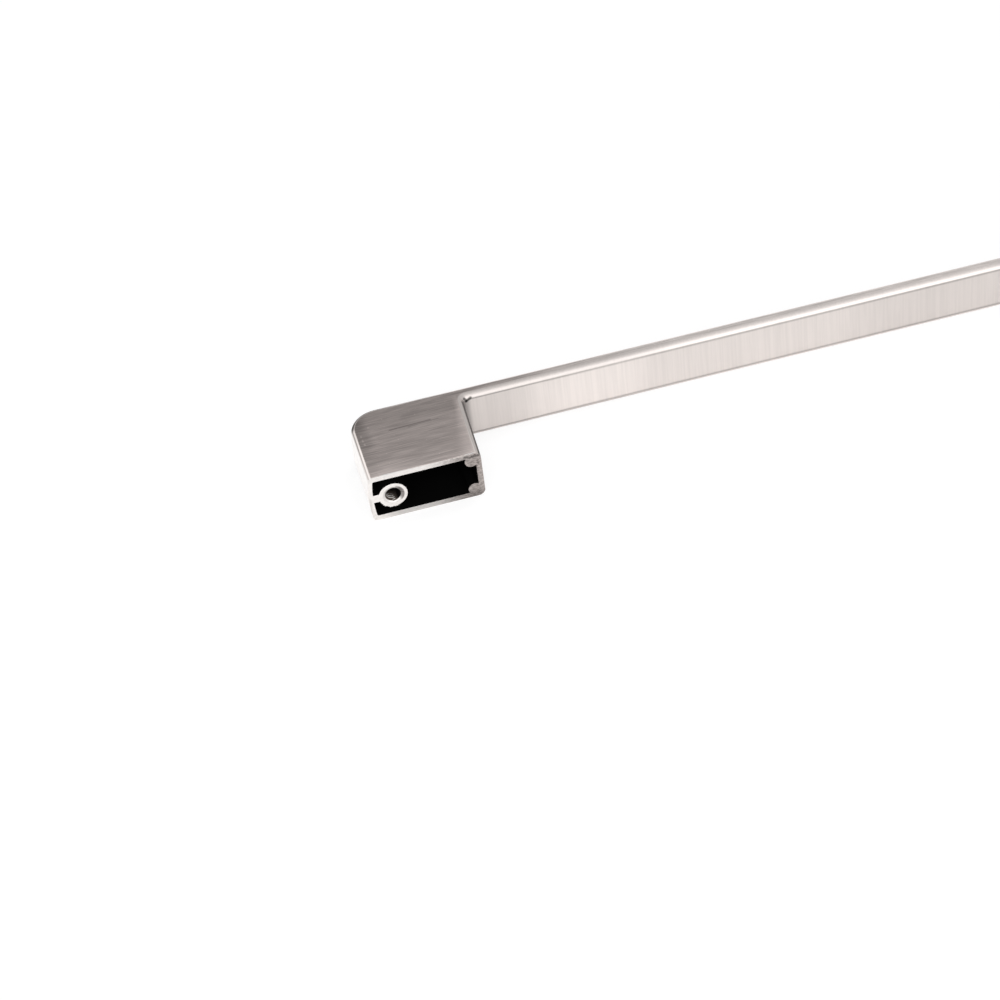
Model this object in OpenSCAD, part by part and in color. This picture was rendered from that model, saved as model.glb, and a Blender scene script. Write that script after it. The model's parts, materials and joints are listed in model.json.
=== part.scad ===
// Cabinet bar handle, die-cast in one piece: a flat bar that turns down into two hollow feet.
// It lies on its side. +X runs along the bar, +Y from the mounting face to the front, +Z across the width.
// The origin is midway between the two screw holes, on the mounting face. Millimetres.

/* [Overall] */
// Distance between the two screw holes
hole_spacing = 256; // [96:32:320]
// Distance from the mounting face to the front of the bar
projection = 26.5; // [25:0.5:36]
// Width of the bar and of both feet
width = 14.5; // [13:0.5:18]

/* [Outer form] */
// Radius of the corners where the bar turns down into its feet
corner_radius = 8; // [6:0.5:10]
// Radius of the gentle crown across the front and the ends
crown_radius = 40; // [30:5:90]
// Radius of the edges along the front and the ends
outer_edge_radius = 1.2; // [0.8:0.1:1.5]

/* [Finger side] */
// Thickness of the bar between its finger side and the top of the crown
bar_thickness = 4.2; // [3.6:0.1:5.5]
// Radius of the edges along the finger side
finger_edge_radius = 1.8; // [1.2:0.1:2]
// Radius of the fillet where the bar meets a foot
finger_corner_radius = 1.2; // [0.8:0.1:3]
// Mould draft of each foot on its finger side, in degrees, at angles where its fillet meets it exactly
finger_draft = 2.05; // [1.25, 1.69, 1.83, 2.05, 2.35]

/* [Feet] */
// Length of a foot along the bar, at the mounting face
foot_length = 30; // [27:0.5:34]
// Thickness of the wall at the outer end of a foot
end_wall = 1.2; // [1:0.05:1.6]
// Thickness of the walls along both sides of a foot
side_wall = 1.5; // [1.2:0.05:1.8]
// Thickness of the wall on the finger side of a foot
finger_wall = 1.45; // [1.3:0.05:2.2]
// Thickness left between the bottom of the hollow and the front
front_wall = 3; // [2:0.1:4]
// Radius of the hollow's corners at the outer end
hollow_edge_radius = 0.5; // [0.3:0.05:0.8]

/* [Screw bosses] */
// Distance from the outer end of a foot to the middle of its screw hole
hole_inset = 6.4; // [6:0.1:9]
// Diameter of the round boss round the hole
boss_diameter = 7.5; // [6.6:0.1:8]
// Thickness of the rib that joins the boss to the end wall
rib_thickness = 2.4; // [1.8:0.1:3]
// Diameter of the hole, which is the outer diameter of its M4 thread
hole_diameter = 4; // [3:0.5:5]
// Depth of the full diameter of the hole
hole_depth = 14; // [10:0.5:16]
// Width of the countersink round the hole's mouth
mouth_width = 0.55; // [0.3:0.05:0.8]
// Angle of the drill's point, which leaves the cone at the bottom and cuts the countersink
drill_angle = 118; // [110:1:140]

/* [Corner posts] */
// Diameter of the posts in the inner corners of a foot
post_diameter = 3.5; // [3:0.1:4]
// Distance from the two walls of a corner to the middle of its post
post_inset = 1.1; // [0.8:0.1:1.5]

/* [Hidden] */
$fn = 96;

// Overlap that takes a cut clear of the surface it opens, and a joined form into its neighbour
clear = 1;
half_width = width / 2;
half_length = hole_spacing / 2 + hole_inset;
corner_y = projection - corner_radius;

// Finger side: the middle of the left corner fillet, found from the drafted face of the foot
fillet_y = projection - bar_thickness - finger_corner_radius;
fillet_x = -half_length + foot_length
    + (finger_corner_radius + fillet_y * sin(finger_draft)) / cos(finger_draft);
foot_face_length = (fillet_y + 3 * clear) / cos(finger_draft);
draft_run = foot_face_length * sin(finger_draft) + clear;

// How far the block in the middle of the gap overlaps the other cuts round that point
fillet_middle = finger_corner_radius / 2;

// Hollow of a foot, measured from the foot's outer end
hollow_end = foot_length - finger_wall;
hollow_depth = projection - front_wall;
hollow_half_width = half_width - side_wall;

// Section with a crowned face at x = 0, two rounded edges and a flat back at x = depth
module crowned_section(depth, half, crown, edge) {
    edge_y = half - edge;
    edge_x = crown - sqrt(pow(crown - edge, 2) - pow(edge_y, 2));
    touch_y = edge_y * crown / (crown - edge);
    intersection() {
        translate([crown, 0]) circle(r = crown);
        translate([0, -touch_y]) square([depth, 2 * touch_y]);
    }
    for (side = [-1, 1]) translate([edge_x, side * edge_y]) circle(r = edge);
    translate([edge_x, -half]) square([depth - edge_x, 2 * half]);
}

module outer_section(depth) {
    crowned_section(depth, half_width, crown_radius, outer_edge_radius);
}

// Extrude a section along X or Y. Its own y becomes Z, and its x becomes Y or X.
module along_x(from, to) {
    translate([from, 0, 0]) rotate([90, 0, 90]) linear_extrude(height = to - from) children();
}

module along_y(from, to) {
    translate([0, to, 0]) rotate([90, 0, 0]) linear_extrude(height = to - from) children();
}

// Turn a section about its own y axis, with what lies beyond that axis cut off
module turned(angle) {
    rotate_extrude(angle = angle) intersection() {
        children();
        translate([0, -width]) square([projection, 2 * width]);
    }
}

// Both ends of the handle are alike, so the left end is drawn and mirrored
module both_ends() {
    children();
    mirror([1, 0, 0]) children();
}

// Outer form: the section runs up the end, round the corner and along the front
module outer_form() {
    both_ends() {
        translate([-half_length, 0, 0]) along_y(0, corner_y)
            outer_section(fillet_x + half_length);
        translate([-half_length + corner_radius, corner_y, 0]) rotate([0, 0, 90]) turned(90)
            translate([corner_radius, 0]) mirror([1, 0]) outer_section(corner_radius + clear);
    }
    along_x(-half_length + corner_radius, half_length - corner_radius)
        translate([projection, 0]) mirror([1, 0]) outer_section(corner_radius);
}

// Section of the gap beside a face at x = 0 whose two edges are rounded into the metal behind it
module gap_section(reach) {
    flat_half = half_width - finger_edge_radius;
    difference() {
        translate([-reach, -half_width - clear])
            square([reach + finger_edge_radius, width + 2 * clear]);
        translate([0, -flat_half]) square([finger_edge_radius, 2 * flat_half]);
        for (side = [-1, 1])
            translate([finger_edge_radius, side * flat_half]) circle(r = finger_edge_radius);
    }
}

// Room for the fingers. Each half is drawn from the middle of its corner fillet,
// down the drafted foot, round the fillet and along the bar to the middle of the handle,
// and a block takes out what lies between.
module finger_gap() {
    both_ends() translate([fillet_x, fillet_y, 0]) {
        rotate([0, 0, -finger_draft]) translate([-finger_corner_radius, 0, 0])
            along_y(-foot_face_length, 0)
                mirror([1, 0]) gap_section(finger_corner_radius + draft_run);
        rotate([0, 0, 90]) turned(90 - finger_draft)
            translate([finger_corner_radius, 0]) gap_section(finger_corner_radius + clear);
        along_x(0, clear - fillet_x) translate([finger_corner_radius, 0])
            gap_section(finger_corner_radius + clear);
        translate([-fillet_middle, -fillet_y - 2 * clear, -half_width - clear])
            cube([clear - fillet_x, fillet_y + 2 * clear + fillet_middle, width + 2 * clear]);
    }
}

// The modules below draw one foot, with its outer end at x = 0

module post(side) {
    translate([hollow_end - post_inset, -clear, side * (hollow_half_width - post_inset)])
        rotate([-90, 0, 0]) cylinder(d = post_diameter, h = projection + clear);
}

module screw_boss() {
    translate([hole_inset, -clear, 0]) rotate([-90, 0, 0])
        cylinder(d = boss_diameter, h = projection + clear);
    translate([0, -clear, -rib_thickness / 2])
        cube([hole_inset, projection + clear, rib_thickness]);
}

// Hollow that opens at the mounting face and follows the crowned end and the outer corner
module hollow() {
    inner_radius = corner_radius - end_wall;
    difference() {
        intersection() {
            translate([end_wall, 0, 0]) along_y(-clear, hollow_depth)
                crowned_section(hollow_end - end_wall, hollow_half_width,
                    crown_radius - end_wall, hollow_edge_radius);
            translate([0, 0, -half_width]) linear_extrude(height = width) {
                translate([0, -2 * clear]) square([hollow_end + clear, corner_y + 2 * clear]);
                translate([corner_radius, corner_y]) circle(r = inner_radius);
                translate([corner_radius, corner_y - clear])
                    square([hollow_end + clear - corner_radius, inner_radius + clear]);
            }
        }
        screw_boss();
        for (side = [-1, 1]) post(side);
    }
}

module screw_hole() {
    cone_slope = tan(drill_angle / 2);
    mouth_diameter = hole_diameter + 2 * mouth_width;
    translate([hole_inset, 0, 0]) rotate([-90, 0, 0]) {
        translate([0, 0, -clear]) cylinder(d = hole_diameter, h = hole_depth + clear);
        translate([0, 0, hole_depth])
            cylinder(d1 = hole_diameter, d2 = 0, h = hole_diameter / 2 / cone_slope);
        cylinder(d1 = mouth_diameter, d2 = hole_diameter, h = mouth_width / cone_slope);
    }
}

module handle() {
    color("silver") difference() {
        outer_form();
        finger_gap();
        both_ends() translate([-half_length, 0, 0]) {
            hollow();
            screw_hole();
        }
    }
}

handle();
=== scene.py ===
import json
import math
import bpy
from mathutils import Matrix, Vector


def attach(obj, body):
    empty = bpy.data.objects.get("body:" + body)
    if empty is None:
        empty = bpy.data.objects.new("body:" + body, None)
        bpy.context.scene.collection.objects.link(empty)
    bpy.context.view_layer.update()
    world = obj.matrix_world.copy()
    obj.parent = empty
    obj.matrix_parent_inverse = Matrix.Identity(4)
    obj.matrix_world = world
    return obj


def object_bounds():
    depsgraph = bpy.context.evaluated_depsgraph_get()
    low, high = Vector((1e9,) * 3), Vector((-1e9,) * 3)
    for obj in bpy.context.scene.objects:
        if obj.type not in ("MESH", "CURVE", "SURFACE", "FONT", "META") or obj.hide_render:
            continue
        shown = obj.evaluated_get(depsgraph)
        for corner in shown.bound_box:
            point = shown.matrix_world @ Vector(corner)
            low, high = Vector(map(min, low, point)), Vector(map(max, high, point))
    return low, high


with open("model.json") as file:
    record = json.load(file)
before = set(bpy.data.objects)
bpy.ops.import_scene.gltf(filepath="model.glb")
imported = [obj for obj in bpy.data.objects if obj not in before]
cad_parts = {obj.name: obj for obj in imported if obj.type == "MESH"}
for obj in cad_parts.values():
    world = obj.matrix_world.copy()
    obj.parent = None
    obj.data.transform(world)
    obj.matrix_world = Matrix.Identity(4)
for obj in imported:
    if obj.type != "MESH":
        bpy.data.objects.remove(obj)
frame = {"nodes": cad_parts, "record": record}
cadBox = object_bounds()
print("handle loaded, box", cadBox)

mm = 0.001

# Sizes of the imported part, in millimetres
record = frame["record"]
screwHole = next(mount for mount in record["mounts"] if mount["name"] == "right_screw_hole")
holeX = screwHole["pos_m"][0] / mm
holeRadius = screwHole["dims"]["r_mm"]
halfLength = cadBox[1].x / mm
halfWidth = cadBox[1].z / mm
projection = cadBox[1].y / mm


# Node helpers

def addNode(tree, kind, **values):
    node = tree.nodes.new(kind)
    for name, value in values.items():
        setattr(node, name, value)
    return node


def feed(tree, node, socket, value):
    # A socket takes a link where the value is another node's output, and else a plain value
    target = node.inputs[socket]
    if isinstance(value, bpy.types.NodeSocket):
        tree.links.new(value, target)
    else:
        target.default_value = value


def maths(tree, operation, first, second=0.0, third=0.0, clamp=False):
    node = addNode(tree, "ShaderNodeMath", operation=operation, use_clamp=clamp)
    for index, value in enumerate((first, second, third)):
        feed(tree, node, index, value)
    return node.outputs[0]


def times(tree, first, *others):
    for other in others:
        first = maths(tree, "MULTIPLY", first, other)
    return first


def opposite(tree, mask):
    return maths(tree, "SUBTRACT", 1.0, mask)


def ramp(tree, value, low, high, toLow=0.0, toHigh=1.0):
    # Smooth step from toLow at low to toHigh at high
    node = addNode(tree, "ShaderNodeMapRange", interpolation_type="SMOOTHSTEP")
    feed(tree, node, "Value", value)
    for name, number in (("From Min", low), ("From Max", high), ("To Min", toLow), ("To Max", toHigh)):
        feed(tree, node, name, number)
    return node.outputs["Result"]


def band(tree, value, low, lowFull, highFull, high):
    # 1 between the two middle limits and 0 beyond the outer two
    return times(tree, ramp(tree, value, low, lowFull), ramp(tree, value, high, highFull))


def blend(tree, factor, first, second):
    node = addNode(tree, "ShaderNodeMix", data_type="FLOAT")
    feed(tree, node, 0, factor)
    feed(tree, node, 2, first)
    feed(tree, node, 3, second)
    return node.outputs[0]


def shadeWhere(tree, shade, mask, depth):
    # Multiply a shade by depth where the mask is 1
    return times(tree, shade, blend(tree, mask, 1.0, depth))


def blendColour(tree, factor, first, second, mode="MIX"):
    node = addNode(tree, "ShaderNodeMix", data_type="RGBA", blend_type=mode)
    feed(tree, node, 0, factor)
    feed(tree, node, 6, first)
    feed(tree, node, 7, second)
    return node.outputs[2]


def vectorMaths(tree, operation, first, second=(0.0, 0.0, 0.0), output="Vector"):
    node = addNode(tree, "ShaderNodeVectorMath", operation=operation)
    feed(tree, node, 0, first)
    feed(tree, node, 1, second)
    return node.outputs[output]


def scaleVector(tree, value, scale):
    node = addNode(tree, "ShaderNodeVectorMath", operation="SCALE")
    feed(tree, node, 0, value)
    feed(tree, node, "Scale", scale)
    return node.outputs[0]


def vector(tree, x, y, z):
    node = addNode(tree, "ShaderNodeCombineXYZ")
    for index, value in enumerate((x, y, z)):
        feed(tree, node, index, value)
    return node.outputs[0]


def split(tree, value):
    node = addNode(tree, "ShaderNodeSeparateXYZ")
    feed(tree, node, 0, value)
    return node.outputs


def noise(tree, where, scale, detail=2.0, roughness=0.5):
    node = addNode(tree, "ShaderNodeTexNoise")
    feed(tree, node, "Vector", where)
    feed(tree, node, "Scale", scale)
    feed(tree, node, "Detail", detail)
    feed(tree, node, "Roughness", roughness)
    return node.outputs["Fac"]


def newGroup(name, inputs, outputs):
    group = bpy.data.node_groups.new(name, "ShaderNodeTree")
    for label, kind in inputs:
        group.interface.new_socket(name=label, in_out="INPUT", socket_type=kind)
    for label, kind in outputs:
        group.interface.new_socket(name=label, in_out="OUTPUT", socket_type=kind)
    start = group.nodes.new("NodeGroupInput")
    end = group.nodes.new("NodeGroupOutput")
    return group, start, end


def useGroup(tree, group, **values):
    node = addNode(tree, "ShaderNodeGroup", node_tree=group)
    for name, value in values.items():
        feed(tree, node, name, value)
    return node.outputs


# The dictionaries below hold ranges and bands, in millimetres or in the measure's own units.
# A range is two places, and then the two values that it runs between where they aren't 0 and 1.
# A band is four places: where it begins, where it is full, to where it is full and where it ends.


# Brush lines: streaks that run where the Stretch input is small

lineLook = {
    "fineScale": 1.7,
    "fineRoughness": 0.6,
    "broadScale": 0.35,
    "broadRoughness": 0.55,
    "detail": 3.0,
    "spread": (0.3, 0.7),
}


def makeBrushLines(look):
    group, start, end = newGroup(
        "brushLines",
        [("Position", "NodeSocketVector"), ("Stretch", "NodeSocketVector")],
        [("Fine", "NodeSocketFloat"), ("Broad", "NodeSocketFloat")],
    )
    stretched = vectorMaths(group, "MULTIPLY", start.outputs["Position"], start.outputs["Stretch"])
    fine = noise(group, stretched, look["fineScale"], look["detail"], look["fineRoughness"])
    broad = noise(group, stretched, look["broadScale"], look["detail"], look["broadRoughness"])
    feed(group, end, "Fine", ramp(group, fine, *look["spread"]))
    feed(group, end, "Broad", ramp(group, broad, *look["spread"]))
    return group


# Ground metal: short coarse scratches, as a belt grinder leaves them

grindLook = {
    "stretch": (0.7, 1.0, 1.7),
    "scale": 1.3,
    "detail": 4.0,
    "roughness": 0.7,
    "spread": (0.34, 0.66),
}


def makeGroundMetal(look):
    group, start, end = newGroup(
        "groundMetal",
        [("Position", "NodeSocketVector")],
        [("Scratches", "NodeSocketFloat")],
    )
    stretched = vectorMaths(group, "MULTIPLY", start.outputs["Position"], look["stretch"])
    scratches = noise(group, stretched, look["scale"], look["detail"], look["roughness"])
    feed(group, end, "Scratches", ramp(group, scratches, *look["spread"]))
    return group


# Stroke: a soft-edged mark from Start to End, 1 along its middle

strokeEdge = (0.5, 0.15)  # shares of the stroke's width


def makeStroke(edge):
    group, start, end = newGroup(
        "stroke",
        [
            ("Position", "NodeSocketVector"),
            ("Start", "NodeSocketVector"),
            ("End", "NodeSocketVector"),
            ("Width", "NodeSocketFloat"),
        ],
        [("Mask", "NodeSocketFloat")],
    )
    along = vectorMaths(group, "SUBTRACT", start.outputs["End"], start.outputs["Start"])
    fromStart = vectorMaths(group, "SUBTRACT", start.outputs["Position"], start.outputs["Start"])
    passed = vectorMaths(group, "DOT_PRODUCT", fromStart, along, "Value")
    whole = vectorMaths(group, "DOT_PRODUCT", along, along, "Value")
    share = maths(group, "DIVIDE", passed, whole, clamp=True)
    offset = vectorMaths(group, "DISTANCE", fromStart, scaleVector(group, along, share), "Value")
    nearness = maths(group, "DIVIDE", offset, start.outputs["Width"])
    feed(group, end, "Mask", ramp(group, nearness, *edge))
    return group


# Bore light: how far a point is from the axis of its screw hole, and how the hole's two sides are lit

boreLook = {
    "litTowards": (0.6, -0.8),  # outwards along the bar, and up
    "lit": (0.2, 1.7),
    "litDepth": (5.0, 0.5),
    "farTowards": (-0.98, 0.20),
    "far": (1.0, 2.1),
}


def makeBoreLight(look):
    group, start, end = newGroup(
        "boreLight",
        [("Position", "NodeSocketVector")],
        [("FromAxis", "NodeSocketFloat"), ("Lit", "NodeSocketFloat"), ("FarSide", "NodeSocketFloat")],
    )
    x, y, z = split(group, start.outputs["Position"])
    outward = maths(group, "SUBTRACT", maths(group, "ABSOLUTE", x), holeX)
    fromAxis = vectorMaths(group, "LENGTH", vector(group, outward, 0.0, z), output="Value")

    def towards(direction):
        return maths(group, "MULTIPLY_ADD", outward, direction[0], times(group, z, direction[1]))

    lit = ramp(group, towards(look["litTowards"]), *look["lit"])
    feed(group, end, "FromAxis", fromAxis)
    feed(group, end, "Lit", times(group, lit, ramp(group, y, *look["litDepth"])))
    feed(group, end, "FarSide", ramp(group, towards(look["farTowards"]), *look["far"]))
    return group


brushLines = makeBrushLines(lineLook)
groundMetal = makeGroundMetal(grindLook)
stroke = makeStroke(strokeEdge)
boreLight = makeBoreLight(boreLook)
print("shader groups ready")


# The handle: one material, whose finishes are laid out by place and by facing

handleLook = {
    "colours": {
        "nickel": (0.78, 0.722, 0.692, 1.0),
        "footNickel": (0.78, 0.690, 0.658, 1.0),
        # painted light: the outer ends are lighter than the nickel
        "endFace": (0.93, 0.905, 0.89, 1.0),
        "ground": (0.92, 0.885, 0.86, 1.0),
        "dullGround": (0.44, 0.395, 0.375, 1.0),
        "farMouth": (0.21, 0.19, 0.18, 1.0),
        # painted shade: the hollows and the hole walls are near-black
        "hollow": (0.004, 0.004, 0.004, 1.0),
        # painted light on the side of each hole wall that faces the light
        "bore": (0.14, 0.115, 0.10, 1.0),
    },
    "surface": {
        "roughness": 0.32,
        "lineRoughness": 0.08,
        "groundRoughness": 0.55,
        "hollowRoughness": 0.8,
        "anisotropy": 0.7,
        "bumpStrength": 0.25,
        "bumpDepth": 0.02,
    },
    "casting": {
        "footLength": 30.0,
        "footSlope": 0.0358,  # the draft of the foot's finger side
        "cornerRadius": 8.0,
        "fingerEdge": 1.8,
    },
    "faces": {
        "side": (0.96, 0.995),
        "rimDepth": (0.06, 0.02),
        "rimFacing": (-0.9, -0.97),
        "fingerFromEnd": (28.8, 29.1),
        "fingerDepth": (24.5, 23.9),
        "flatFacing": (-0.93, -0.985),
        "endFacing": (0.86, 0.96),
        "endFromEnd": (3.0, 2.5),
        "footFadeStart": 45.0,  # from the middle of the handle
        "footFadeEnd": 3.0,  # short of the foot
        "bore": (2.10, 2.02),
        "boreDepth": (17.0, 16.0),
        "mouth": (2.8, 2.7),
        "mouthDepth": (0.4, 0.35),
    },
    # painted shade: the hollow inside these limits is near-black
    "hollow": {  # how far inside each face of the casting its black hollow begins
        "fromEnd": (0.9, 1.2),
        "fromFinger": (29.1, 29.0),
        "fromSide": (1.40, 1.48),
        "fromFront": (2.0, 2.2),
        "fromCorner": (0.7, 0.9),
        "fromAxis": (2.9, 3.0),
    },
    "brushing": {
        "sideStretch": (0.07, 2.1, 2.1),
        "outerStretch": (0.02, 0.02, 1.3),
        "fingerStretch": (1.2, 1.2, 0.03),
        "sideContrast": 0.36,
        "outerContrast": 0.24,
        "fingerContrast": 0.07,
        "broadContrast": 0.07,
        "fingerBroadContrast": 0.021,
        "fadedContrast": 0.35,
        "fadeStart": (0.0, 21.0, 6.2, 3.2),
        "fadeFull": 1.6,
        "fadeFromEnd": (31.0, 30.0),
        "fadeDepth": (24.0, 21.0),
        # painted light beside the foot's finger edge, and painted shade on its rounding
        "paintedEdgeLight": 1.40,
        "round": (1.9, 1.2),
        "paintedRoundShade": 0.614,
        "speckScale": 2.4,
        "speckDetail": 1.0,
        "specks": (0.74, 0.80, 0.0, 0.35),
        "endLines": (0.0, 0.5, 0.88, 1.0),
    },
    # painted shade and painted light on the sides: darker towards the feet, the outer ends, the corners and
    # far from the mouths, lighter near the mouths and along their edge
    "sides": {
        "foot": 0.63,
        "outer": (6.0, 1.68, 1.0, 0.90),
        "cornerSlope": 0.4,
        "corner": (3.0, 6.5, 1.0, 0.82),
        "mouth": (7.0, 0.0, 1.0, 1.22),
        "upper": (13.0, 23.0, 1.0, 0.87),
        "nearOuterEnd": (16.0, 3.0),
        "outerMouth": (7.0, 0.5, 1.0, 1.28),
        "mouthEdge": (0.40, 0.15, 1.0, 1.50),
    },
    # painted light and painted shade on the finger side, its roundings, its fine edge lines and its corners
    # by the feet
    "fingerSide": {
        "shade": 0.88,
        "lightBand": (48.0, 64.0, 72.0, 90.0),
        "lightShade": 0.97,
        "nearFoot": (82.0, 94.0, 1.0, 0.90),
        "rightHalf": (-10.0, 20.0, 1.0, 0.91),
        "paintedRoundShade": (35.0, 65.0, 0.95, 0.80),
        "wideLineBand": (-0.35, -0.05, 0.2, 0.5),
        "wideLineReach": (90.0, 75.0),
        "wideLineShade": 0.85,
        "lineBand": (0.0, 0.2, 0.4, 0.65),
        "lineReach": (102.4, 101.9),
        "lineShade": (60.0, 90.0, 0.70, 0.55),
        "filletReach": (101.3, 103.1),
        "filletFromEdge": (0.5, 0.1),
        "filletShade": 0.45,
    },
    # painted shade along the feet's finger edges, the outer corners and the ends, and a painted highlight
    # along the ends
    "edges": {
        "footBand": (0.60, 0.78, 0.995, 0.999),
        "footFromEdge": (0.1, 0.3),
        "footFromEnd": (27.0, 28.0),
        "footDepth": (21.4, 20.8),
        "footShade": 0.30,
        "endEdgeFacing": (0.15, 0.35),
        "endBand": (0.56, 0.66, 0.74, 0.82),
        "endShade": (1.0, 13.0, 0.80, 0.45),
        "gleamBand": (0.06, 0.18, 0.46, 0.56),
        "gleamShade": 1.25,
        "cornerBand": (0.20, 0.35, 0.93, 0.99),
        "cornerDepth": (18.5, 20.5),
        "cornerStrength": (14.0, 7.0, 0.6, 1.0),
        "cornerFromEnd": (30.0, 20.0),
        "cornerShade": 0.25,
    },
    "rim": {
        "dull": (14.0, 28.0),
        "darkScratch": (0.97, 0.62),  # where the rim is bright, and where it is dull
        "lightScratch": (1.02, 1.12),
        "raggedScale": 1.6,
        "raggedRoughness": 0.6,
        "raggedWidth": 1.6,
        # painted highlight along the rim's top edge, and painted shade towards its top and bottom and in
        # the hole's mouth
        "topEdge": (6.85, 7.10),
        "topEdgeShade": 1.45,
        "top": (5.0, 6.0, 1.0, 0.94),
        "bottom": (-4.6, -5.8),
        "bottomShade": (1.5, 9.0, 0.95, 0.72),
        "mouthShade": 0.86,
        "farMouth": (3.15, 2.75),
        "farMouthDepth": (2.0, 1.0),
        "farMouthScratch": (0.0, 1.0, 1.0, 0.75),
    },
}

# Marks on the left foot, in millimetres: from, to, width and shade: two dark scratches, painted shade in a
# band along the top and by the outer corner, two lighter streaks, three bright specks, and painted shade in
# the crease where the inner corner's roundings meet
footMarks = (
    ((-124.5, 16.1, 7.25), (-113.6, 16.5, 7.25), 0.75, 0.68),
    ((-119.5, 15.7, 7.25), (-111.5, 16.3, 7.25), 0.60, 0.80),
    ((-119.5, 20.0, 7.25), (-107.0, 19.0, 7.25), 4.00, 0.93),
    ((-132.6, 21.0, 7.25), (-131.4, 13.0, 7.25), 6.50, 0.84),
    ((-111.4, 14.2, 7.25), (-105.4, 14.0, 7.25), 0.45, 1.13),
    ((-112.8, 8.6, 7.25), (-105.8, 7.8, 7.25), 0.50, 1.13),
    ((-131.9, 16.5, 7.25), (-131.9, 16.1, 7.25), 0.70, 1.30),
    ((-131.8, 14.9, 7.25), (-131.8, 14.2, 7.25), 0.70, 1.30),
    ((-131.6, 13.2, 7.25), (-131.6, 12.8, 7.25), 0.70, 1.35),
    ((-103.2, 22.3, 6.25), (-102.7, 22.3, 5.35), 1.15, 0.24),
    ((-102.7, 22.3, 5.35), (-101.5, 22.4, 6.05), 1.15, 0.24),
)

# Marks on the ground rim of the left foot
rimMarks = (
    ((-108.6, 0.0, 6.3), (-106.8, 0.0, 6.1), 1.00, 0.60),
    ((-106.6, 0.0, 6.2), (-105.2, 0.0, 6.3), 1.30, 0.52),
    ((-105.4, 0.0, 4.6), (-105.3, 0.0, 3.7), 0.80, 0.65),
    ((-134.0, 0.0, 0.2), (-134.0, 0.0, -4.6), 0.90, 0.86),
)


def findPlaces(tree, casting):
    # Where a point lies on the handle, in millimetres, and which way it faces
    place = addNode(tree, "ShaderNodeTexCoord")
    position = scaleVector(tree, place.outputs["Object"], 1 / mm)
    x, y, z = split(tree, position)
    faceX, faceY, faceZ = split(tree, place.outputs["Normal"])
    reach = maths(tree, "ABSOLUTE", x)
    aside = maths(tree, "ABSOLUTE", z)
    return {
        "position": position,
        "x": x,
        "y": y,
        "z": z,
        "reach": reach,  # from the middle of the handle
        "fromEnd": maths(tree, "SUBTRACT", halfLength, reach),
        "fromSide": maths(tree, "SUBTRACT", halfWidth, aside),
        "fromFront": maths(tree, "SUBTRACT", projection, y),
        "fromEdge": maths(tree, "SUBTRACT", aside, halfWidth - casting["fingerEdge"]),
        "normal": place.outputs["Normal"],
        "facesEnd": maths(tree, "ABSOLUTE", faceX),
        "facesFront": faceY,
        "facesSide": maths(tree, "ABSOLUTE", faceZ),
    }


def findFaces(tree, at, look, fromAxis):
    # A mask for each face of the handle
    limits = look["faces"]
    side = ramp(tree, at["facesSide"], *limits["side"])
    fingerSide = times(
        tree,
        ramp(tree, at["fromEnd"], *limits["fingerFromEnd"]),
        ramp(tree, at["y"], *limits["fingerDepth"]),
        opposite(tree, side),
    )
    rimFacing = ramp(tree, at["facesFront"], *limits["rimFacing"])
    atEnd = ramp(tree, at["fromEnd"], *limits["endFromEnd"])
    fadeStart = limits["footFadeStart"]
    fadeLength = halfLength - look["casting"]["footLength"] - limits["footFadeEnd"] - fadeStart
    fromBar = maths(tree, "DIVIDE", maths(tree, "SUBTRACT", at["reach"], fadeStart), fadeLength, clamp=True)
    return {
        "side": side,
        "fingerSide": fingerSide,
        "fingerFlat": times(tree, fingerSide, ramp(tree, at["facesFront"], *limits["flatFacing"])),
        "rim": times(tree, ramp(tree, at["y"], *limits["rimDepth"]), rimFacing),
        "atEnd": atEnd,
        "end": times(tree, ramp(tree, at["facesEnd"], *limits["endFacing"]), atEnd),
        "foot": times(tree, fromBar, fromBar),  # fades in along the bar
        "bore": times(
            tree,
            ramp(tree, fromAxis, *limits["bore"]),
            ramp(tree, at["y"], *limits["boreDepth"]),
        ),
        "mouth": times(
            tree,
            ramp(tree, fromAxis, *limits["mouth"]),
            ramp(tree, at["y"], *limits["mouthDepth"]),
        ),
    }


def findHollow(tree, at, look, rim, fromAxis):
    # The hollow of a foot, inside the casting's faces, its outer corner and its screw boss, which is
    # painted near-black as shade
    limits = look["hollow"]
    radius = look["casting"]["cornerRadius"]
    pastX = maths(tree, "MAXIMUM", maths(tree, "SUBTRACT", radius, at["fromEnd"]), 0.0)
    pastY = maths(tree, "MAXIMUM", maths(tree, "SUBTRACT", radius, at["fromFront"]), 0.0)
    fromMiddle = vectorMaths(tree, "LENGTH", vector(tree, pastX, pastY, 0.0), output="Value")
    return times(
        tree,
        ramp(tree, at["fromEnd"], *limits["fromEnd"]),
        ramp(tree, at["fromEnd"], *limits["fromFinger"]),
        ramp(tree, at["fromSide"], *limits["fromSide"]),
        ramp(tree, at["fromFront"], *limits["fromFront"]),
        ramp(tree, maths(tree, "SUBTRACT", radius, fromMiddle), *limits["fromCorner"]),
        ramp(tree, fromAxis, *limits["fromAxis"]),
        opposite(tree, rim),
    )


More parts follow.
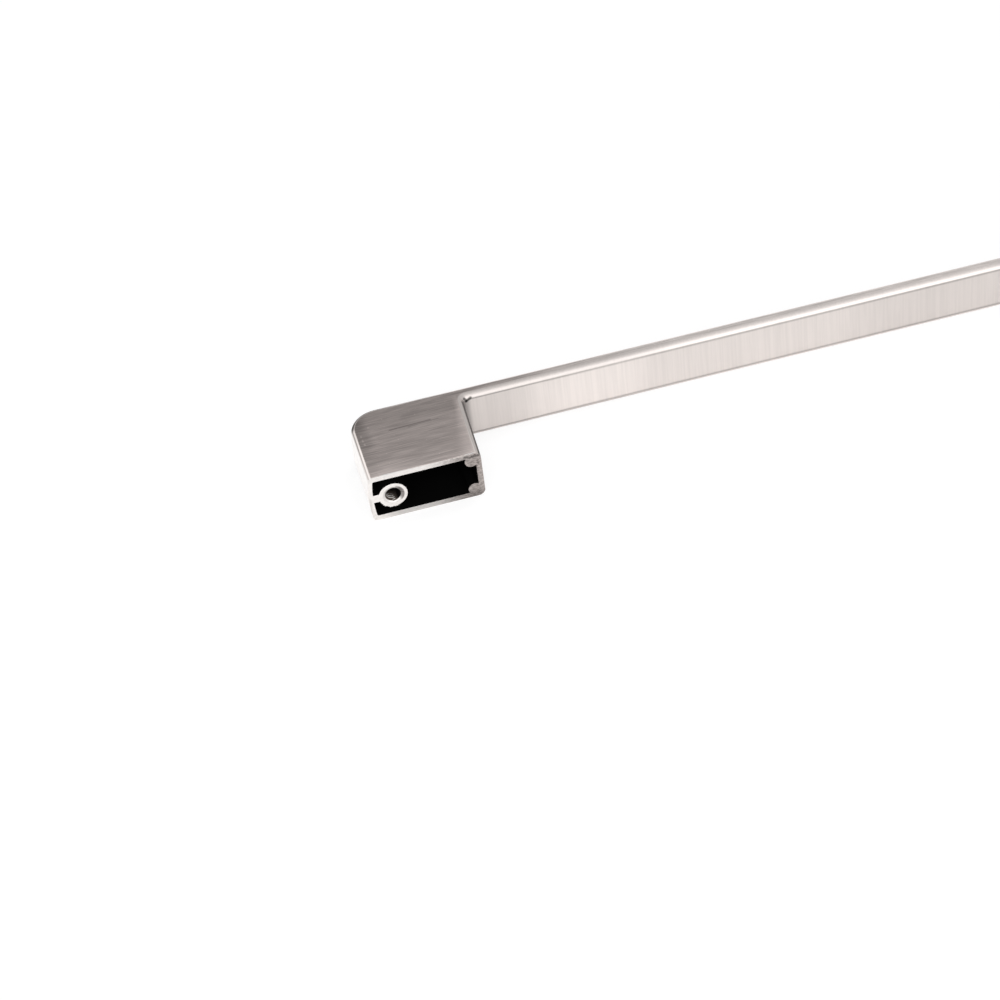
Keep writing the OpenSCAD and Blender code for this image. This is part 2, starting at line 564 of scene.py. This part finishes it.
def layBrushing(tree, at, faces, look):
    # Brush lines run along the sides, round the outer form and across the finger side
    brushing = look["brushing"]
    lines = {
        part: useGroup(tree, brushLines, Position=at["position"], Stretch=brushing[part + "Stretch"])
        for part in ("side", "outer", "finger")
    }

    def laid(grade):
        around = blend(tree, faces["side"], lines["outer"][grade], lines["side"][grade])
        return blend(tree, faces["fingerSide"], around, lines["finger"][grade])

    # They fade towards the foot's finger edge, in a band that narrows towards the bar, where painted light
    # lightens them, and painted shade darkens the edge's rounding
    casting = look["casting"]
    fromFinger = maths(tree, "SUBTRACT", casting["footLength"], at["fromEnd"])
    fromFinger = maths(tree, "MULTIPLY_ADD", at["y"], casting["footSlope"], fromFinger)
    onFoot = times(
        tree,
        ramp(tree, at["fromEnd"], *brushing["fadeFromEnd"]),
        ramp(tree, at["y"], *brushing["fadeDepth"]),
    )
    fadeStart = ramp(tree, at["y"], *brushing["fadeStart"])
    faded = times(tree, ramp(tree, fromFinger, fadeStart, brushing["fadeFull"]), onFoot)
    onRound = times(tree, ramp(tree, fromFinger, *brushing["round"]), onFoot)

    fine = laid("Fine")
    contrast = blend(tree, faces["side"], brushing["outerContrast"], brushing["sideContrast"])
    contrast = shadeWhere(tree, contrast, faded, brushing["fadedContrast"])
    contrast = blend(tree, faces["fingerSide"], contrast, brushing["fingerContrast"])
    broadContrast = blend(
        tree, faces["fingerSide"], brushing["broadContrast"], brushing["fingerBroadContrast"]
    )
    shade = maths(tree, "MULTIPLY_ADD", maths(tree, "SUBTRACT", fine, 0.5), contrast, 1.0)
    shade = maths(tree, "MULTIPLY_ADD", maths(tree, "SUBTRACT", laid("Broad"), 0.5), broadContrast, shade)
    shade = shadeWhere(tree, shade, faded, brushing["paintedEdgeLight"])
    shade = shadeWhere(tree, shade, onRound, brushing["paintedRoundShade"])
    return fine, shade


def shadeSides(tree, at, faces, sides, shade):
    # Painted shade and painted light: the sides darken towards the feet and the outer ends, and lighten
    # towards the mouths
    intoCorner = maths(tree, "SUBTRACT", times(tree, at["y"], sides["cornerSlope"]), at["fromEnd"])
    nearOuterEnd = ramp(tree, at["fromEnd"], *sides["nearOuterEnd"])
    depths = (
        blend(tree, faces["foot"], 1.0, sides["foot"]),
        ramp(tree, at["fromEnd"], *sides["outer"]),
        ramp(tree, intoCorner, *sides["corner"]),
        ramp(tree, at["y"], *sides["mouth"]),
        blend(tree, faces["foot"], 1.0, ramp(tree, at["y"], *sides["upper"])),
        blend(tree, nearOuterEnd, 1.0, ramp(tree, at["y"], *sides["outerMouth"])),
        ramp(tree, at["y"], *sides["mouthEdge"]),
    )
    for depth in depths:
        shade = shadeWhere(tree, shade, faces["side"], depth)
    return shade


def shadeFingerSide(tree, at, faces, finger, shade):
    # Painted light and shade: the finger side is lightest half way to the feet and darker on its roundings,
    # and painted shade lies in fine lines where its edges turn and in the corners by the feet
    onFingerSide = faces["fingerSide"]
    lightBand = band(tree, at["reach"], *finger["lightBand"])
    flatShade = times(
        tree,
        blend(tree, lightBand, finger["shade"], finger["lightShade"]),
        ramp(tree, at["reach"], *finger["nearFoot"]),
        ramp(tree, at["x"], *finger["rightHalf"]),
    )
    rounded = times(tree, onFingerSide, opposite(tree, faces["fingerFlat"]))
    wideLine = band(tree, at["fromEdge"], *finger["wideLineBand"])
    wideLine = times(tree, wideLine, onFingerSide, ramp(tree, at["reach"], *finger["wideLineReach"]))
    line = band(tree, at["fromEdge"], *finger["lineBand"])
    line = times(tree, line, onFingerSide, ramp(tree, at["reach"], *finger["lineReach"]))
    fillet = ramp(tree, at["fromEdge"], *finger["filletFromEdge"])
    fillet = times(tree, fillet, onFingerSide, ramp(tree, at["reach"], *finger["filletReach"]))
    for mask, depth in (
        (faces["fingerFlat"], flatShade),
        (rounded, ramp(tree, at["reach"], *finger["paintedRoundShade"])),
        (wideLine, finger["wideLineShade"]),
        (line, ramp(tree, at["reach"], *finger["lineShade"])),
        (fillet, finger["filletShade"]),
    ):
        shade = shadeWhere(tree, shade, mask, depth)
    return shade


def shadeEdges(tree, at, faces, edges, shade):
    # Painted shade in dark lines along the feet's finger edges, the outer corners and the ends, and a
    # painted highlight along the ends
    footLine = times(
        tree,
        band(tree, at["facesEnd"], *edges["footBand"]),
        ramp(tree, at["fromEdge"], *edges["footFromEdge"]),
        ramp(tree, at["fromEnd"], *edges["footFromEnd"]),
        ramp(tree, at["y"], *edges["footDepth"]),
    )
    cornerLine = times(
        tree,
        band(tree, at["facesSide"], *edges["cornerBand"]),
        ramp(tree, at["y"], *edges["cornerDepth"]),
        ramp(tree, at["fromEnd"], *edges["cornerStrength"]),
        ramp(tree, at["fromEnd"], *edges["cornerFromEnd"]),
        opposite(tree, faces["fingerSide"]),
    )
    endEdge = times(tree, faces["atEnd"], ramp(tree, at["facesSide"], *edges["endEdgeFacing"]))
    endLine = times(tree, band(tree, at["facesEnd"], *edges["endBand"]), endEdge)
    gleam = times(tree, band(tree, at["facesEnd"], *edges["gleamBand"]), endEdge)
    for mask, depth in (
        (footLine, edges["footShade"]),
        (cornerLine, edges["cornerShade"]),
        (endLine, ramp(tree, at["y"], *edges["endShade"])),
        (gleam, edges["gleamShade"]),
    ):
        shade = shadeWhere(tree, shade, mask, depth)
    return shade, maths(tree, "MAXIMUM", footLine, cornerLine)


def drawMarks(tree, position, marks, shade):
    for markStart, markEnd, width, depth in marks:
        mark = useGroup(tree, stroke, Position=position, Start=markStart, End=markEnd, Width=width)
        shade = shadeWhere(tree, shade, mark["Mask"], depth)
    return shade


def colourNickel(tree, at, faces, look, fine, shade):
    colours = look["colours"]
    brushing = look["brushing"]
    specks = noise(tree, at["position"], brushing["speckScale"], brushing["speckDetail"])
    specks = times(tree, ramp(tree, specks, *brushing["specks"]), faces["side"])
    shade = maths(tree, "ADD", shade, specks)  # small bright specks on the sides
    onFootSide = times(tree, faces["foot"], faces["side"])
    nickel = blendColour(tree, onFootSide, colours["nickel"], colours["footNickel"])
    nickel = blendColour(tree, 1.0, nickel, shade, "MULTIPLY")
    # Painted light: the outer ends take a lighter colour, with brush lines
    endLines = ramp(tree, fine, *brushing["endLines"])
    endColour = blendColour(tree, 1.0, colours["endFace"], endLines, "MULTIPLY")
    return blendColour(tree, faces["end"], nickel, endColour)


def colourRim(tree, at, faces, look, cutLines):
    # The ground rim is bright at the outer end and duller towards the finger side
    rim = look["rim"]
    dull = ramp(tree, at["fromEnd"], *rim["dull"])
    colour = blendColour(tree, dull, look["colours"]["ground"], look["colours"]["dullGround"])
    dark = blend(tree, dull, *rim["darkScratch"])
    light = blend(tree, dull, *rim["lightScratch"])
    shade = ramp(tree, cutLines, 0.0, 1.0, dark, light)
    raggedness = noise(tree, at["position"], rim["raggedScale"], roughness=rim["raggedRoughness"])
    offset = maths(tree, "MULTIPLY_ADD", raggedness, rim["raggedWidth"], -rim["raggedWidth"] / 2)
    ragged = vectorMaths(tree, "ADD", at["position"], vector(tree, 0.0, 0.0, offset))
    shade = drawMarks(tree, ragged, rimMarks, shade)
    # Painted highlight along the top edge, and painted shade towards the top, towards the bottom and in the
    # hole's mouth
    topEdge = times(tree, ramp(tree, at["z"], *rim["topEdge"]), dull)
    bottom = ramp(tree, at["z"], *rim["bottom"])
    shade = shadeWhere(tree, shade, topEdge, rim["topEdgeShade"])
    shade = times(tree, shade, ramp(tree, at["z"], *rim["top"]))
    shade = shadeWhere(tree, shade, bottom, ramp(tree, at["fromEnd"], *rim["bottomShade"]))
    shade = shadeWhere(tree, shade, faces["mouth"], rim["mouthShade"])
    return blendColour(tree, 1.0, colour, shade, "MULTIPLY")


def addHole(tree, at, faces, look, hole, cutLines, hollow, colour):
    # The hole's mouth is grey on the far side; the hollow and the hole's wall are painted near-black as
    # shade, with painted light on the side of the wall that faces the light
    rim = look["rim"]
    colours = look["colours"]
    farMouth = times(
        tree,
        ramp(tree, hole["FromAxis"], *rim["farMouth"]),
        ramp(tree, at["y"], *rim["farMouthDepth"]),
        ramp(tree, cutLines, *rim["farMouthScratch"]),
        hole["FarSide"],
    )
    colour = blendColour(tree, farMouth, colour, colours["farMouth"])
    colour = blendColour(tree, hollow, colour, colours["hollow"])
    boreColour = blendColour(tree, hole["Lit"], colours["hollow"], colours["bore"])
    return blendColour(tree, faces["bore"], colour, boreColour)


def brushDirection(tree, at, faces):
    # Round the outer form, and across the finger side; a little X turns it along the handle on the sides
    roundForm = vectorMaths(tree, "CROSS_PRODUCT", (0.0, 0.0, 1.0), at["normal"])
    lengthwise = vectorMaths(tree, "ADD", roundForm, (0.01, 0.0, 0.0))
    brushed = addNode(tree, "ShaderNodeMix", data_type="VECTOR")
    feed(tree, brushed, 0, faces["fingerSide"])
    feed(tree, brushed, 4, lengthwise)
    feed(tree, brushed, 5, (0.0, 0.0, 1.0))
    return vectorMaths(tree, "NORMALIZE", brushed.outputs[1])


def makeNickel(look):
    material = bpy.data.materials.new("brushedNickel")
    material.use_nodes = True
    tree = material.node_tree
    shader = tree.nodes["Principled BSDF"]
    surface = look["surface"]

    at = findPlaces(tree, look["casting"])
    hole = useGroup(tree, boreLight, Position=at["position"])
    faces = findFaces(tree, at, look, hole["FromAxis"])
    hollow = findHollow(tree, at, look, faces["rim"], hole["FromAxis"])
    cutLines = useGroup(tree, groundMetal, Position=at["position"])["Scratches"]
    ground = maths(tree, "MAXIMUM", faces["rim"], faces["mouth"])

    fine, shade = layBrushing(tree, at, faces, look)
    shade = shadeSides(tree, at, faces, look["sides"], shade)
    shade = shadeFingerSide(tree, at, faces, look["fingerSide"], shade)
    shade, darkLines = shadeEdges(tree, at, faces, look["edges"], shade)
    shade = drawMarks(tree, at["position"], footMarks, shade)
    nickel = colourNickel(tree, at, faces, look, fine, shade)
    colour = blendColour(tree, ground, nickel, colourRim(tree, at, faces, look, cutLines))
    colour = addHole(tree, at, faces, look, hole, cutLines, hollow, colour)
    feed(tree, shader, "Base Color", colour)

    # The painted shade of the hollows, the hole walls and the dark edge lines is matt and not metallic, so
    # that it stays dark at a grazing view
    matt = maths(tree, "MAXIMUM", maths(tree, "MAXIMUM", hollow, faces["bore"]), darkLines)
    feed(tree, shader, "Metallic", opposite(tree, matt))
    roughness = maths(tree, "MULTIPLY_ADD", fine, surface["lineRoughness"], surface["roughness"])
    roughness = blend(tree, ground, roughness, surface["groundRoughness"])
    feed(tree, shader, "Roughness", blend(tree, hollow, roughness, surface["hollowRoughness"]))
    bump = addNode(tree, "ShaderNodeBump")
    feed(tree, bump, "Strength", surface["bumpStrength"])
    feed(tree, bump, "Distance", surface["bumpDepth"] * mm)
    feed(tree, bump, "Height", blend(tree, ground, fine, cutLines))
    feed(tree, shader, "Normal", bump.outputs[0])

    # The brushing spreads reflections across its own direction
    feed(tree, shader, "Tangent", brushDirection(tree, at, faces))
    shader.inputs["Anisotropic"].default_value = surface["anisotropy"]
    shader.inputs["Specular IOR Level"].default_value = 0.0
    return material


handle = frame["nodes"]["handle"]
nickelMaterial = makeNickel(handleLook)
for materialSlot in handle.material_slots:
    materialSlot.material = nickelMaterial
print("handle dressed")


def makeStrip(name, rings, material):
    # A closed solid through rings of corners, given in millimetres, with a cap at each end
    corners = len(rings[0])
    vertices = [tuple(size * mm for size in corner) for ring in rings for corner in ring]
    faces = []
    for step in range(len(rings) - 1):
        for corner in range(corners):
            here = step * corners + corner
            beside = step * corners + (corner + 1) % corners
            faces.append((here, beside, beside + corners, here + corners))
    faces.append(tuple(reversed(range(corners))))
    faces.append(tuple(range(len(vertices) - corners, len(vertices))))
    mesh = bpy.data.meshes.new(name)
    mesh.from_pydata(vertices, [], faces)
    mesh.validate()
    mesh.materials.append(material)
    piece = bpy.data.objects.new(name, mesh)
    bpy.context.scene.collection.objects.link(piece)
    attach(piece, "root")


def turnCorner(holeAt, radius, angle, depth):
    # A corner at a radius and angle round the axis of a screw hole, at a depth from the mounting face
    return (holeAt + radius * math.cos(angle), depth, radius * math.sin(angle))


# The thread in each screw hole: a ridge that winds up the bore

threadLook = {
    "pitch": 0.7,
    "crestRadius": 1.66,
    "crestHalf": 0.05,
    "rootDepth": 0.04,  # how far the ridge is let into the wall
    "flankHalf": 0.30,
    "start": 0.36,
    "startAngle": -1.75,
    "end": 13.4,
    "stepsPerTurn": 48,
    # painted highlight on the crests, and painted light and shade in the grooves
    "colour": (0.95, 0.93, 0.90, 1.0),
    "groove": (0.13, 0.105, 0.09, 1.0),
    "shadow": (0.006, 0.005, 0.005, 1.0),
    "roughness": 0.30,
    "markRoughness": 0.15,
    "markScale": 2.6,
    "markDetail": 3.0,
    "markGrain": 0.6,
    "crest": (1.80, 1.68),
    "lit": (0.45, 0.90),
    "marked": (0.3, 0.55),
}


def makeThreadMetal(look):
    material = bpy.data.materials.new("cutThread")
    material.use_nodes = True
    tree = material.node_tree
    shader = tree.nodes["Principled BSDF"]
    place = addNode(tree, "ShaderNodeTexCoord")
    position = scaleVector(tree, place.outputs["Object"], 1 / mm)
    cutMarks = noise(tree, position, look["markScale"], look["markDetail"], look["markGrain"])
    hole = useGroup(tree, boreLight, Position=position)
    # Painted highlight: the crests near the mouth are light on the side that faces the light; the grooves
    # are painted dark as shade, lighter on that side
    shine = times(
        tree,
        ramp(tree, hole["FromAxis"], *look["crest"]),
        ramp(tree, hole["Lit"], *look["lit"]),
        ramp(tree, cutMarks, *look["marked"]),
    )
    dim = blendColour(tree, hole["Lit"], look["shadow"], look["groove"])
    roughness = maths(tree, "MULTIPLY_ADD", cutMarks, look["markRoughness"], look["roughness"])
    feed(tree, shader, "Base Color", blendColour(tree, shine, dim, look["colour"]))
    feed(tree, shader, "Roughness", roughness)
    shader.inputs["Specular IOR Level"].default_value = 0.0
    return material


def makeThread(name, holeAt, look, material):
    turns = (look["end"] - look["start"]) / look["pitch"]
    rootRadius = holeRadius + look["rootDepth"]
    profile = (
        (rootRadius, -look["flankHalf"]),
        (look["crestRadius"], -look["crestHalf"]),
        (look["crestRadius"], look["crestHalf"]),
        (rootRadius, look["flankHalf"]),
    )
    rings = []
    for step in range(int(turns * look["stepsPerTurn"]) + 1):
        turned = step / look["stepsPerTurn"]
        angle = look["startAngle"] + 2 * math.pi * turned
        height = look["start"] + look["pitch"] * turned
        rings.append([turnCorner(holeAt, radius, angle, height + rise) for radius, rise in profile])
    makeStrip(name, rings, material)


threadMetal = makeThreadMetal(threadLook)
for threadName, threadAt in (("left_thread", -holeX), ("right_thread", holeX)):
    makeThread(threadName, threadAt, threadLook, threadMetal)
print("threads cut")


# The burr on the left boss: a thin ragged lip that grinding left along the boss's lower edge

burrLook = {
    "bossRadius": 3.75,
    "from": -2.75,
    "to": -1.15,
    "lip": 0.36,
    "rootDepth": 0.15,  # how far the burr is let into the boss
    "topDepth": 0.01,
    "lipDepth": 0.03,
    "bottomDepth": 0.25,
    "meanWave": 0.5,
    # The height of each wave, and its radians along the burr and at its start
    "waves": ((0.28, 23, 1.3), (0.25, 61, 0.0), (0.20, 131, 0.6)),
    "leastWave": 0.05,
    "steps": 90,
}


def makeBurr(look):
    root = look["bossRadius"] - look["rootDepth"]
    rings = []
    for step in range(look["steps"] + 1):
        share = step / look["steps"]
        angle = look["from"] + (look["to"] - look["from"]) * share
        wave = look["meanWave"]
        for height, along, start in look["waves"]:
            wave += height * math.sin(along * share + start)
        taper = math.sin(math.pi * share) ** 0.5
        lip = look["bossRadius"] + look["lip"] * taper * max(wave, look["leastWave"])
        profile = ((root, look["topDepth"]), (lip, look["lipDepth"]), (root, look["bottomDepth"]))
        rings.append([turnCorner(-holeX, radius, angle, depth) for radius, depth in profile])
    makeStrip("left_burr", rings, nickelMaterial)


makeBurr(burrLook)
print("burr raised")


# Floor, world and lamps

studio = {
    "floorDrop": 0.05,  # millimetres
    "floorSize": 1.4,
    "floorGlow": 0.80,
    "mirroredGlow": 0.34,
    "floorColour": (0.26, 0.26, 0.26, 1.0),
    "mirroredColour": (0.86, 0.86, 0.86, 1.0),
    "white": (1.0, 1.0, 1.0, 1.0),
    "worldDiffuse": 0.44,
    # What the metal mirrors: the brightness of each panel, and where it lies as shares of a direction
    "ceiling": 0.76,
    "frontPanel": 1.04,
    "ceilingToFront": (0.4, -1.0),
    "frontStrip": 2.0,
    "stripBack": (-0.55, -0.85),
    "stripUp": (-0.3, -0.05),
    "darkPanel": 0.208,
    "darkBand": (-0.16, -0.04, 0.11, 0.20),
    "darkBack": (0.25, 0.6),
    "backdrop": 1.08,
    "backdropUp": (0.45, 0.25),
    "backdropLeft": (-0.12, -0.3),
    "backdropBack": (0.0, 0.4),
}

lamps = (
    {
        "name": "frontSoftbox",
        "place": (-0.15, -1.15, 0.65),
        "target": (-0.1, 0.0, 0.0),
        "width": 2.6,
        "height": 1.4,
        "watts": 17.0,
    },
    {
        "name": "topLamp",
        "place": (0.4, 0.3, 1.6),
        "target": (-0.1, 0.0, 0.0),
        "width": 0.6,
        "height": 0.6,
        "watts": 6.0,
    },
)


def backgroundRays(tree):
    # 1 for the rays that show the white background: seen directly, in metal or through glass
    path = addNode(tree, "ShaderNodeLightPath")
    seen = maths(tree, "MAXIMUM", path.outputs["Is Camera Ray"], path.outputs["Is Glossy Ray"])
    return path.outputs["Is Glossy Ray"], maths(tree, "MAXIMUM", seen, path.outputs["Is Transmission Ray"])


def makeFloor(look):
    size = look["floorSize"]
    level = cadBox[0].z - look["floorDrop"] * mm
    mesh = bpy.data.meshes.new("floor")
    corners = [(-size, -size, level), (size, -size, level), (size, size, level), (-size, size, level)]
    mesh.from_pydata(corners, [], [(0, 1, 2, 3)])
    floor = bpy.data.objects.new("floor", mesh)
    bpy.context.scene.collection.objects.link(floor)
    material = bpy.data.materials.new("whiteTable")
    material.use_nodes = True
    tree = material.node_tree
    tree.nodes.clear()
    output = addNode(tree, "ShaderNodeOutputMaterial")
    matte = addNode(tree, "ShaderNodeBsdfDiffuse")
    glow = addNode(tree, "ShaderNodeEmission")
    # The handle mirrors the floor as it is lit, with its shadow
    mirrored, seen = backgroundRays(tree)
    feed(tree, matte, "Color", blendColour(tree, mirrored, look["floorColour"], look["mirroredColour"]))
    strength = blend(tree, mirrored, look["floorGlow"], look["mirroredGlow"])
    feed(tree, glow, "Strength", times(tree, seen, strength))
    both = addNode(tree, "ShaderNodeAddShader")
    tree.links.new(matte.outputs[0], both.inputs[0])
    tree.links.new(glow.outputs[0], both.inputs[1])
    tree.links.new(both.outputs[0], output.inputs["Surface"])
    mesh.materials.append(material)


def mirroredPanels(tree, look):
    # A white front panel, a greyer ceiling, a dark panel high at the back and a white backdrop
    place = addNode(tree, "ShaderNodeTexCoord")
    across, back, up = split(tree, place.outputs["Generated"])
    light = ramp(tree, back, *look["ceilingToFront"], look["ceiling"], look["frontPanel"])
    strip = times(tree, ramp(tree, back, *look["stripBack"]), ramp(tree, up, *look["stripUp"]))
    light = blend(tree, strip, light, look["frontStrip"])
    dark = times(tree, band(tree, across, *look["darkBand"]), ramp(tree, back, *look["darkBack"]))
    light = blend(tree, dark, light, look["darkPanel"])
    low = ramp(tree, up, *look["backdropUp"])
    left = ramp(tree, across, *look["backdropLeft"])
    backdrop = times(tree, maths(tree, "MAXIMUM", low, left), ramp(tree, back, *look["backdropBack"]))
    return blend(tree, backdrop, light, look["backdrop"])


def makeWorld(look):
    world = bpy.data.worlds.new("softStudio")
    bpy.context.scene.world = world
    world.use_nodes = True
    tree = world.node_tree
    tree.nodes.clear()
    output = addNode(tree, "ShaderNodeOutputWorld")
    background = addNode(tree, "ShaderNodeBackground")
    feed(tree, background, "Color", look["white"])
    tree.links.new(background.outputs[0], output.inputs["Surface"])
    mirrored, seen = backgroundRays(tree)
    strength = blend(tree, mirrored, 1.0, mirroredPanels(tree, look))
    feed(tree, background, "Strength", blend(tree, seen, look["worldDiffuse"], strength))


def addLamp(look):
    lamp = bpy.data.lights.new(look["name"], "AREA")
    lamp.shape = "RECTANGLE"
    lamp.size = look["width"]
    lamp.size_y = look["height"]
    lamp.energy = look["watts"]
    lampObject = bpy.data.objects.new(look["name"], lamp)
    bpy.context.scene.collection.objects.link(lampObject)
    lampObject.location = look["place"]
    aim = Vector(look["target"]) - Vector(look["place"])
    lampObject.rotation_euler = aim.to_track_quat("-Z", "Y").to_euler()
    lampObject.visible_glossy = False  # bare metal mirrors the world's panels alone


makeFloor(studio)
makeWorld(studio)
for lampLook in lamps:
    addLamp(lampLook)
print("studio ready")


# Camera: where the photograph was taken from, in the handle's own frame

cameraPlace = {
    "position": (-0.1874, -0.5288, 0.4839),
    "yaw": 0.1619,
    "pitch": 0.7454,
    "roll": -0.1333,
    "focalPixels": 2838.0,
    "framePixels": 1000.0,
    "sensor": 36.0,
    "clipStart": 0.01,
    "clipEnd": 50.0,
}


def makeCamera(look):
    yaw, pitch, roll = look["yaw"], look["pitch"], look["roll"]
    forward = Vector((math.sin(yaw) * math.cos(pitch), math.cos(yaw) * math.cos(pitch), -math.sin(pitch)))
    level = Vector((math.cos(yaw), -math.sin(yaw), 0))
    upright = level.cross(forward)
    right = math.cos(roll) * level + math.sin(roll) * upright
    up = -math.sin(roll) * level + math.cos(roll) * upright
    turn = Matrix((right, up, -forward)).transposed()
    lens = bpy.data.cameras.new("camera")
    lens.sensor_width = look["sensor"]
    lens.lens = look["focalPixels"] / look["framePixels"] * look["sensor"]
    lens.clip_start = look["clipStart"]
    lens.clip_end = look["clipEnd"]
    camera = bpy.data.objects.new("camera", lens)
    bpy.context.scene.collection.objects.link(camera)
    camera.matrix_world = Matrix.Translation(look["position"]) @ turn.to_4x4()
    bpy.context.scene.camera = camera


makeCamera(cameraPlace)
bpy.context.scene.view_settings.view_transform = "Standard"
print("camera placed")

# Bring the scene's placements up to date
bpy.context.view_layer.update()
